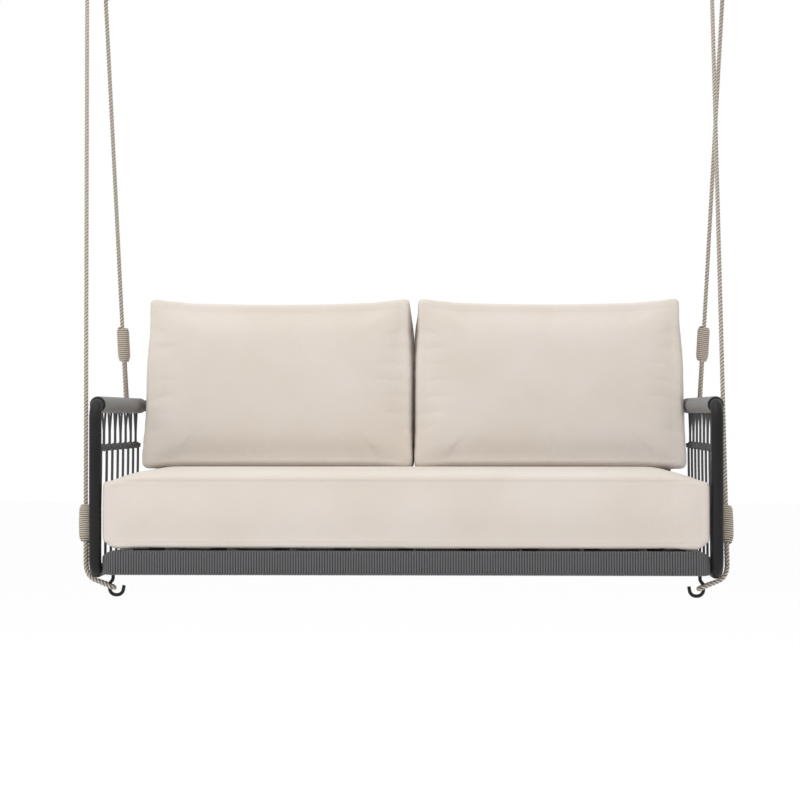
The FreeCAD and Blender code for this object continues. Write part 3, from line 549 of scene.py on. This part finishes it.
def wound_tube(name, low, high, along, tube_radius, material):
    """Turns of cord side by side round a straight tube that fills the given box."""
    count = int(round((high - low)[along] / cord_pitch))
    pitch = (high - low)[along] / count
    ring_radius = tube_radius + pitch * 0.34
    middle = (low + high) / 2
    start = middle.copy()
    start[along] = low[along] + pitch / 2
    turn = (0, math.radians(90), 0) if along == 0 else (math.radians(90), 0, 0)
    bpy.ops.object.select_all(action="DESELECT")
    bpy.ops.mesh.primitive_torus_add(
        location=(0, 0, 0), major_segments=28, minor_segments=8,
        major_radius=ring_radius, minor_radius=pitch * 0.51,
    )
    winding = bpy.context.object
    winding.name = name
    mark_creases(winding, pitch * 1.02)
    winding.location, winding.rotation_euler = start, turn
    bpy.ops.object.transform_apply(location=True, rotation=True, scale=True)
    repeat = winding.modifiers.new("turns", "ARRAY")
    repeat.count = count
    repeat.use_relative_offset = False
    repeat.use_constant_offset = True
    step = [0.0, 0.0, 0.0]
    step[along] = pitch
    repeat.constant_offset_displace = step
    bpy.ops.object.modifier_apply(modifier="turns")
    bpy.ops.object.shade_smooth()
    winding.data.materials.append(material)
    return winding


for hand in hands:
    low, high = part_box(f"arm_winding_{hand}")
    winding = wound_tube(f"arm_winding_{hand}_turns", low, high, 1, 0.015, grey_cord)
    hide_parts(f"arm_winding_{hand}")
    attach(winding, "swing")

low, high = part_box("back_winding")
winding = wound_tube("back_winding_turns", low, high, 0, 0.015, grey_cord)
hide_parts("back_winding")
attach(winding, "swing")

# Base windings: the same cord wound round the four rectangular base rails, turn against turn, coloured darker
# than the arm cord as painted shade. A turn is a ring drawn out into a rounded rectangle, and the rail's
# array is made from it.
# Painted shade: the same grey cord as the arms, in a darker colour.
base_cord_shaded = cord_weave("wound_base_cord_painted_shade", (0.150, 0.150, 0.158), (0.043, 0.043, 0.046), 1500, 380)
cord_bulge = cord_pitch * 0.505


def rectangular_turn(name, place, turn, half_deep, half_high, round_radius, thickness):
    """One turn of cord as a ring drawn out to a rounded rectangle, in the plane of its own axis."""
    bpy.ops.object.select_all(action="DESELECT")
    bpy.ops.mesh.primitive_torus_add(
        location=(0, 0, 0), major_segments=20, minor_segments=8, major_radius=round_radius,
        minor_radius=thickness / 2,
    )
    loop_turn = bpy.context.object
    loop_turn.name = name
    mark_creases(loop_turn, thickness)
    for axis, reach in ((0, half_deep - round_radius), (1, half_high - round_radius)):
        for way in (-1, 1):
            bpy.ops.object.mode_set(mode="EDIT")
            bpy.ops.mesh.select_all(action="DESELECT")
            bpy.ops.object.mode_set(mode="OBJECT")
            for corner in loop_turn.data.vertices:
                corner.select = corner.co[axis] * way > round_radius * 0.05
            bpy.ops.object.mode_set(mode="EDIT")
            shift = [0.0, 0.0, 0.0]
            shift[axis] = way * reach
            bpy.ops.transform.translate(value=shift)
            bpy.ops.object.mode_set(mode="OBJECT")
    loop_turn.rotation_euler = turn
    loop_turn.location = place
    bpy.ops.object.transform_apply(location=True, rotation=True, scale=True)
    return loop_turn


def repeat_turn(piece, count, step):
    """Copies a turn along a rail."""
    repeat = piece.modifiers.new("turns", "ARRAY")
    repeat.count = count
    repeat.use_relative_offset = False
    repeat.use_constant_offset = True
    repeat.constant_offset_displace = step
    bpy.context.view_layer.objects.active = piece
    bpy.ops.object.modifier_apply(modifier="turns")
    bpy.ops.object.shade_smooth()


FACING_ALONG_X = (math.radians(90), 0, math.radians(90))
FACING_ALONG_Y = (math.radians(90), 0, 0)
for rail in ("front", "rear", "left", "right"):
    low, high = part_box(f"base_winding_{rail}")
    along = 0 if rail in ("front", "rear") else 1
    count = int(round((high - low)[along] / cord_pitch))
    pitch = (high - low)[along] / count
    middle = (low + high) / 2
    middle[along] = low[along] + pitch / 2
    half_deep = (high - low)[1 - along] / 2 - cord_bulge
    half_high = (high - low).z / 2 - cord_bulge
    winding = rectangular_turn(f"base_winding_{rail}_turns", middle,
                               FACING_ALONG_X if along == 0 else FACING_ALONG_Y,
                               half_deep, half_high, 0.0045, 2 * cord_bulge)
    step = [0.0, 0.0, 0.0]
    step[along] = pitch
    repeat_turn(winding, count, step)
    winding.data.materials.append(base_cord_shaded)
    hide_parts(f"base_winding_{rail}")
    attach(winding, "swing")

# Corner windings: at each corner the turns fan out round the casting. The fan narrows from the high
# front or rear rail to the low side rail.
corner_low, corner_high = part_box("base_corner_windings")
front_low, front_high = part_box("base_winding_front")
side_low, side_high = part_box("base_winding_left")
fan_turns = 8
fan_radius = front_high.y - front_low.y
right_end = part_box("base_winding_right")[1].x
fans = []
for x_side in (-1, 1):
    for y_side in (-1, 1):
        pivot_x = side_low.x + fan_radius if x_side < 0 else right_end - fan_radius
        pivot_y = corner_low.y + fan_radius if y_side < 0 else corner_high.y - fan_radius
        for number in range(fan_turns):
            share = (number + 0.5) / fan_turns
            turned = share * math.radians(90)
            eased = share * share * (3 - 2 * share)
            top = front_high.z + (side_high.z - front_high.z) * eased
            foot = front_low.z + (side_low.z - front_low.z) * eased
            reach = fan_radius / 2 - cord_bulge
            outward = Vector((x_side * math.sin(turned), y_side * math.cos(turned), 0))
            place = Vector((pivot_x, pivot_y, (top + foot) / 2)) + outward * (fan_radius / 2)
            heading = math.atan2(outward.y, outward.x)
            fan = rectangular_turn("fan_turn", place, (math.radians(90), 0, heading), reach,
                                   (top - foot) / 2 - cord_bulge, 0.0045, 2 * cord_bulge)
            fans.append(fan)
bpy.ops.object.select_all(action="DESELECT")
for fan in fans:
    fan.select_set(True)
bpy.context.view_layer.objects.active = fans[0]
bpy.ops.object.join()
corners = bpy.context.object
corners.name = "base_corner_fans"
bpy.ops.object.shade_smooth()
corners.data.materials.append(base_cord_shaded)
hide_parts("base_corner_windings")
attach(corners, "swing")

# Woven sides and back: pairs of round braided cord fan out from a knotted row up to the wound tube,
# and more pairs drop from between the knots to the tube below. All of it is tied by hand, pulled tight.
weave_cord = cord_weave("braided_dark_cord", (0.072, 0.073, 0.077), (0.022, 0.022, 0.023), 1500, 330)
thread_radius, pair_gap, weave_pitch = 0.0029, 0.0034, 0.088
row_level, weave_top, weave_foot = 0.314, 0.402, 0.029
side_plane, back_plane, side_weave_middle = 0.747, 0.785, 0.408
tied = random.Random(11)


def smooth_step(share):
    """A share from 0 to 1 eased at both ends."""
    share = np.clip(share, 0, 1)
    return share * share * (3 - 2 * share)


def upper_pair(place, middle):
    """Two cords that spread from a doubled lower part to the tube above."""
    levels = np.linspace(row_level + 0.004, weave_top, 22)
    meeting = row_level + 0.004 + (weave_top - row_level) * tied.uniform(0.28, 0.52)
    lean = tied.uniform(-0.008, 0.008)
    lines = []
    for way in (-1, 1):
        spread = tied.uniform(0.018, 0.033)
        opened = np.clip((levels - meeting) / (weave_top - meeting), 0, 1) ** 1.2
        across = middle + lean * opened + way * (pair_gap + (spread - pair_gap) * opened)
        lines.append(np.array([place(a, level, 0.0) for a, level in zip(across, levels)]))
    return lines


def lower_pair(place, middle):
    """Two cords side by side from the row to the tube below, easing outward as they reach it."""
    levels = np.linspace(row_level - 0.004, weave_foot, 26)
    drift = tied.uniform(-0.003, 0.003)
    eased = smooth_step((row_level - levels) / (row_level - weave_foot))
    lines = []
    for way in (-1, 1):
        across = middle + way * pair_gap + drift * eased
        lines.append(np.array([place(a, level, 0.004 * out) for a, level, out in zip(across, levels, eased)]))
    return lines


def hitch(place, middle, turns, width, height):
    """A few turns of cord round a pair where it is knotted to the row."""
    steps = np.linspace(0, 1, int(turns * 16) + 1)
    angle = steps * turns * 2 * math.pi
    return np.array([
        place(middle + width * math.cos(a), row_level + height * (0.5 - step), 0.0055 * math.sin(a))
        for a, step in zip(angle, steps)
    ])


def woven_panel(threads_node, knots_node, place, count):
    """The cords of one panel and its knotted row; place gives a point from distance, level and outward."""
    threads, row = [], []
    for knot in range(count):
        middle = (knot - (count - 1) / 2) * weave_pitch
        threads += upper_pair(place, middle)
        row.append(hitch(place, middle, 2.6, 0.0068, 0.014))
    for space in range(count + 1):
        middle = (space - count / 2) * weave_pitch
        threads += lower_pair(place, middle)
        row.append(hitch(place, middle, 1.7, 0.0064, 0.010))
    reach = count / 2 * weave_pitch + 0.006
    line = np.array([place(a, row_level + 0.0012 * math.sin(a * 70), 0.0)
                     for a in np.linspace(-reach, reach, 60)])
    chain, _ = twisted(line, 0.0095, 0.019, strands=2, step=0.0018)
    for cad_node, lines in ((threads_node, threads), (knots_node, chain + row)):
        piece = corded(f"{cad_node}_tied", lines, thread_radius, 8)
        piece.data.materials.append(weave_cord)
        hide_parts(cad_node)
        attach(piece, "swing")


def side_place(side):
    """Points of one side panel."""
    return lambda along, level, out: np.array(
        seat_point(side * (side_plane + out), side_weave_middle + along, level))


def back_place(along, level, out):
    """Points of the back panel."""
    return np.array(seat_point(along, back_plane + out, level))


for hand, side in (("left", -1), ("right", 1)):
    woven_panel(f"side_cords_{hand}", f"side_knots_{hand}", side_place(side), 7)
woven_panel("back_cords", "back_knots", back_place, 15)

# Cushion covers: plain-woven cream outdoor cloth, sewn from panels over foam. Each cover is a soft block
# blown up by a short cloth simulation, drawn out to crisper edges, then seamed.
def cream_cloth(name, pale, warm):
    """Plain-woven outdoor cloth: fine crossing yarns, slubs, and a slow change of tone."""
    paint = bpy.data.materials.new(name)
    paint.use_nodes = True
    nodes, links = paint.node_tree.nodes, paint.node_tree.links
    shader = nodes["Principled BSDF"]
    where = nodes.new("ShaderNodeTexCoord")
    weave = []
    for direction in ("X", "Z"):
        yarn = nodes.new("ShaderNodeTexWave")
        yarn.wave_type, yarn.bands_direction = "BANDS", direction
        yarn.inputs["Scale"].default_value = 210
        yarn.inputs["Distortion"].default_value = 1.2
        yarn.inputs["Detail"].default_value = 2
        links.new(where.outputs["Object"], yarn.inputs["Vector"])
        weave.append(yarn)
    crossed = nodes.new("ShaderNodeMath")
    crossed.operation = "MULTIPLY"
    links.new(weave[0].outputs["Fac"], crossed.inputs[0])
    links.new(weave[1].outputs["Fac"], crossed.inputs[1])
    slubs = nodes.new("ShaderNodeTexNoise")
    slubs.inputs["Scale"].default_value = 420
    slubs.inputs["Detail"].default_value = 5
    links.new(where.outputs["Object"], slubs.inputs["Vector"])
    slow = nodes.new("ShaderNodeTexNoise")
    slow.inputs["Scale"].default_value = 5
    slow.inputs["Detail"].default_value = 3
    links.new(where.outputs["Object"], slow.inputs["Vector"])
    tone = nodes.new("ShaderNodeValToRGB")
    tone.color_ramp.elements[0].position, tone.color_ramp.elements[0].color = 0.36, (*warm, 1)
    tone.color_ramp.elements[1].position, tone.color_ramp.elements[1].color = 0.64, (*pale, 1)
    links.new(slow.outputs["Fac"], tone.inputs["Fac"])
    thread_tone = nodes.new("ShaderNodeValToRGB")
    thread_tone.color_ramp.elements[0].color = (0.90, 0.89, 0.88, 1)
    thread_tone.color_ramp.elements[1].color = (1.0, 1.0, 1.0, 1)
    links.new(slubs.outputs["Fac"], thread_tone.inputs["Fac"])
    shaded = nodes.new("ShaderNodeMix")
    shaded.data_type, shaded.blend_type = "RGBA", "MULTIPLY"
    shaded.inputs["Factor"].default_value = 1.0
    links.new(tone.outputs["Color"], shaded.inputs["A"])
    links.new(thread_tone.outputs["Color"], shaded.inputs["B"])
    links.new(shaded.outputs["Result"], shader.inputs["Base Color"])
    height = nodes.new("ShaderNodeMath")
    height.operation = "ADD"
    links.new(crossed.outputs["Value"], height.inputs[0])
    links.new(slubs.outputs["Fac"], height.inputs[1])
    raised = nodes.new("ShaderNodeBump")
    raised.inputs["Strength"].default_value = 0.35
    raised.inputs["Distance"].default_value = 0.0006
    links.new(height.outputs["Value"], raised.inputs["Height"])
    links.new(raised.outputs["Normal"], shader.inputs["Normal"])
    shader.inputs["Roughness"].default_value = 0.9
    shader.inputs["Specular IOR Level"].default_value = 0.15
    shader.inputs["Sheen Weight"].default_value = 0.1
    return paint


cushion_cloth = cream_cloth("cream_cushion_cloth", (0.625, 0.573, 0.530), (0.600, 0.542, 0.482))


def points_of(mesh):
    """A mesh's points as an array."""
    places = np.empty(len(mesh.vertices) * 3)
    mesh.vertices.foreach_get("co", places)
    return places.reshape(-1, 3)


def normals_of(mesh):
    """A mesh's point normals as an array."""
    normals = np.empty(len(mesh.vertices) * 3)
    mesh.vertex_normals.foreach_get("vector", normals)
    return normals.reshape(-1, 3)


def squared(places, normals, radius, tilt, crispness=7):
    """Rounded edges drawn out to crisper ones, in a frame tilted about X."""
    turned = np.array([[1, 0, 0], [0, math.cos(tilt), -math.sin(tilt)], [0, math.sin(tilt), math.cos(tilt)]])
    local = normals @ turned.T
    sharp = local / (np.abs(local) ** crispness).sum(axis=1)[:, None] ** (1 / crispness)
    return places + radius * ((sharp - local) @ turned)


def swollen_cover(name, radius, tilt, pressure, cap, softness, shrink=0.003, voxel=0.006):
    """A CAD cushion's shape, made slightly smaller and blown up by a short cloth simulation."""
    low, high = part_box(name)
    middle, span = (low + high) / 2, high - low
    cover = bpy.data.objects.new(f"{name}_cover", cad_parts[name].data.copy())
    bpy.context.scene.collection.objects.link(cover)
    bpy.ops.object.select_all(action="DESELECT")
    cover.select_set(True)
    bpy.context.view_layer.objects.active = cover
    bpy.ops.object.mode_set(mode="EDIT")
    bpy.ops.mesh.select_all(action="SELECT")
    bpy.ops.mesh.remove_doubles(threshold=0.00005)
    bpy.ops.object.mode_set(mode="OBJECT")
    for point in cover.data.vertices:
        for k in range(3):
            point.co[k] = middle[k] + (point.co[k] - middle[k]) * (1 - 2 * shrink / span[k])
    cover.data.remesh_voxel_size = voxel
    bpy.ops.object.voxel_remesh()
    rest = points_of(cover.data)
    block = squared(rest, normals_of(cover.data), radius, tilt)
    shift = np.zeros_like(rest)
    cloth = cover.modifiers.new("swelling", "CLOTH")
    cloth.settings.use_pressure = True
    cloth.settings.uniform_pressure_force = pressure
    cloth.settings.effector_weights.gravity = 0
    cloth.point_cache.frame_start, cloth.point_cache.frame_end = 1, 20
    for step in range(1, 21):
        bpy.context.scene.frame_set(step)
    blown = cover.evaluated_get(bpy.context.evaluated_depsgraph_get())
    shift = points_of(blown.data) - rest
    cover.modifiers.remove(cloth)
    bpy.context.scene.frame_set(1)
    run = np.linalg.norm(shift, axis=1)
    shift *= (cap * np.tanh(run / cap) / np.maximum(run, 1e-9))[:, None]
    cover.data.vertices.foreach_set("co", (block + softness * shift).ravel())
    return cover


def refined(cover):
    """One subdivision, applied."""
    bpy.ops.object.select_all(action="DESELECT")
    cover.select_set(True)
    bpy.context.view_layer.objects.active = cover
    finer = cover.modifiers.new("finer", "SUBSURF")
    finer.levels = finer.render_levels = 1
    bpy.ops.object.modifier_apply(modifier="finer")
    bpy.ops.object.shade_smooth()


def within(values, low, high, slack_low, slack_high):
    """Values that may pass each limit only by easing out to its slack."""
    over, under = np.maximum(values - high, 0), np.maximum(low - values, 0)
    eased_over = slack_high * np.tanh(over / max(slack_high, 1e-6))
    eased_under = slack_low * np.tanh(under / max(slack_low, 1e-6))
    return np.clip(values, low, high) + eased_over - eased_under


def stitch(cover, axis, level, width=0.0024, depth=0.0011):
    """Presses a seam round a cover where its distance along an axis is a level."""
    places, normals = points_of(cover.data), normals_of(cover.data)
    off = np.abs(places @ np.array(axis) - level)
    rim = smooth_step((0.93 - np.abs(normals @ np.array(axis))) / 0.25)
    groove = depth * np.exp(-(off / width) ** 2) - 0.35 * depth * np.exp(-((off - 2.4 * width) / width) ** 2)
    cover.data.vertices.foreach_set("co", (places - normals * (groove * rim)[:, None]).ravel())
    cover.data.update()


# Seat cushion: foam in a cream cloth cover, lying loose and flat on the slats between the posts. It is
# crowned in front of the back cushions, its top corners drop and its bottom edge lifts at the ends.
crown_height, crown_rear, crown_ease = 0.016, 0.560, 0.10
end_drop, end_lift, front_hang, proud_ends = 0.010, 0.011, 0.0054, 0.004
side_slack, front_slack, rear_slack, seam_inset = 0.0018, 0.008, 0.001, 0.012
low, high = (np.array(corner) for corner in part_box("seat_cushion"))
seat_cover = swollen_cover("seat_cushion", radius=0.028, tilt=0.0, pressure=4.0, cap=0.024, softness=0.30)
places = points_of(seat_cover.data)
in_front = smooth_step((seat_front + crown_rear - places[:, 1]) / crown_ease)
side_drop = smooth_step((np.abs(places[:, 0] - (low[0] + high[0]) / 2) - 0.60) / 0.129)
crown = 0.0005 + crown_height * in_front * (1 - side_drop)
upper = smooth_step((places[:, 2] - (low[2] + 0.09)) / 0.06)
places[:, 2] += crown * upper * 0.6
places[:, 2] -= end_drop * side_drop ** 2 * upper
lift = smooth_step((np.abs(places[:, 0] - (low[0] + high[0]) / 2) - 0.684) / 0.045) ** 1.5
places[:, 2] += end_lift * lift * (1 - upper) * smooth_step((low[2] + 0.06 - places[:, 2]) / 0.05)
from_middle = places[:, 0] - (low[0] + high[0]) / 2
proud = smooth_step((seat_front - places[:, 1]) / 0.006)
places[:, 0] += from_middle * 0.006
places[:, 0] = within(places[:, 0], low[0], high[0], side_slack, side_slack)
places[:, 0] += proud_ends * proud * from_middle / 0.729
places[:, 1] = within(places[:, 1], low[1], high[1], front_slack, rear_slack)
top_limit = high[2] + crown
places[:, 2] = within(places[:, 2], low[2], top_limit, 0.0001, 0.0001)
hang = smooth_step((seat_front + 0.034 - places[:, 1]) / 0.012) * (1 - lift)
places[:, 2] -= front_hang * hang * smooth_step((low[2] + 0.05 - places[:, 2]) / 0.05)
seat_cover.data.vertices.foreach_set("co", places.ravel())
refined(seat_cover)
stitch(seat_cover, (0, 0, 1), high[2] - seam_inset)
stitch(seat_cover, (0, 0, 1), low[2] + seam_inset)
seat_cover.data.materials.clear()
seat_cover.data.materials.append(cushion_cloth)
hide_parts("seat_cushion")
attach(seat_cover, "swing")

# Back cushions: two foam and fibre cushions in the same cloth, standing loose on the seat cushion and
# leaning eight degrees on the back rail. Their tops dip between raised corners and they bulge low down.
lean = math.radians(8)
top_dip, top_pinch, foot_bulge, fullness = 0.012, 0.010, 0.006, 0.010
front_foot_depth, front_foot_level, front_seam, rear_seam = 0.549, 0.247, 0.012, 0.178
for hand, side in (("left", -1), ("right", 1)):
    low, high = (np.array(corner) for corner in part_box(f"back_cushion_{hand}"))
    back_cover = swollen_cover(f"back_cushion_{hand}", radius=0.036, tilt=lean, pressure=4.2, cap=0.026,
                               softness=0.38)
    places = points_of(back_cover.data)
    middle, half = (low[0] + high[0]) / 2, (high[0] - low[0]) / 2
    off_middle = (places[:, 0] - middle) / half
    up = (places[:, 2] - low[2]) / (high[2] - low[2])
    dip = smooth_step((up - 0.72) / 0.28) * (1 - np.abs(off_middle) ** 2.4)
    places[:, 2] -= top_dip * dip
    pinch = smooth_step((up - 0.55) / 0.45) * np.sign(off_middle) * np.abs(off_middle) ** 3
    places[:, 0] -= top_pinch * pinch
    low_bulge = smooth_step((0.45 - up) / 0.35) * side * np.clip(side * off_middle, 0, 1) ** 3
    places[:, 0] += foot_bulge * low_bulge + fullness * half * off_middle
    inner_low, inner_high = (0.0002, 0.007) if side > 0 else (0.007, 0.0002)
    places[:, 0] = within(places[:, 0], low[0], high[0], inner_low, inner_high)
    places[:, 1] = within(places[:, 1], low[1], high[1], 0.016, 0.002)
    places[:, 2] = within(places[:, 2], low[2], high[2], 0.0005, 0.008)
    back_cover.data.vertices.foreach_set("co", places.ravel())
    refined(back_cover)
    face = (0, -math.cos(lean), math.sin(lean))
    front_face = face[1] * (seat_front + front_foot_depth) + face[2] * (seat_floor + front_foot_level)
    stitch(back_cover, face, front_face - front_seam)
    stitch(back_cover, face, front_face - rear_seam)
    back_cover.data.materials.clear()
    back_cover.data.materials.append(cushion_cloth)
    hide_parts(f"back_cushion_{hand}")
    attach(back_cover, "swing")

# Hangers: black-coated steel ceiling plates, links and hooks; zinc-plated D-rings, thimbles, bolts and
# nuts; nylon bushes on the pivots. These stay as the CAD gives them.
black_steel = coated_metal("black_coated_steel", (0.010, 0.010, 0.011), (0.020, 0.020, 0.021), 0.42, 900, 0.3)
zinc_steel = coated_metal("zinc_plate", (0.52, 0.52, 0.53), (0.62, 0.62, 0.63), 0.30, 700, 0.15, 1.0, 0.5)
bush_plastic = coated_metal("natural_nylon", (0.72, 0.70, 0.65), (0.76, 0.74, 0.70), 0.50, 500, 0.1, 0.0, 0.4)
paint_nodes(
    black_steel,
    *[f"{part}_{hand}" for part in ("front_hook", "rear_hook", "hanger_link", "ceiling_bracket")
      for hand in hands],
)
paint_nodes(zinc_steel, *[f"d_ring_{hand}" for hand in hands], "thimbles", "pivot_bolts", "pivot_nuts")
paint_nodes(bush_plastic, "pivot_bushes")
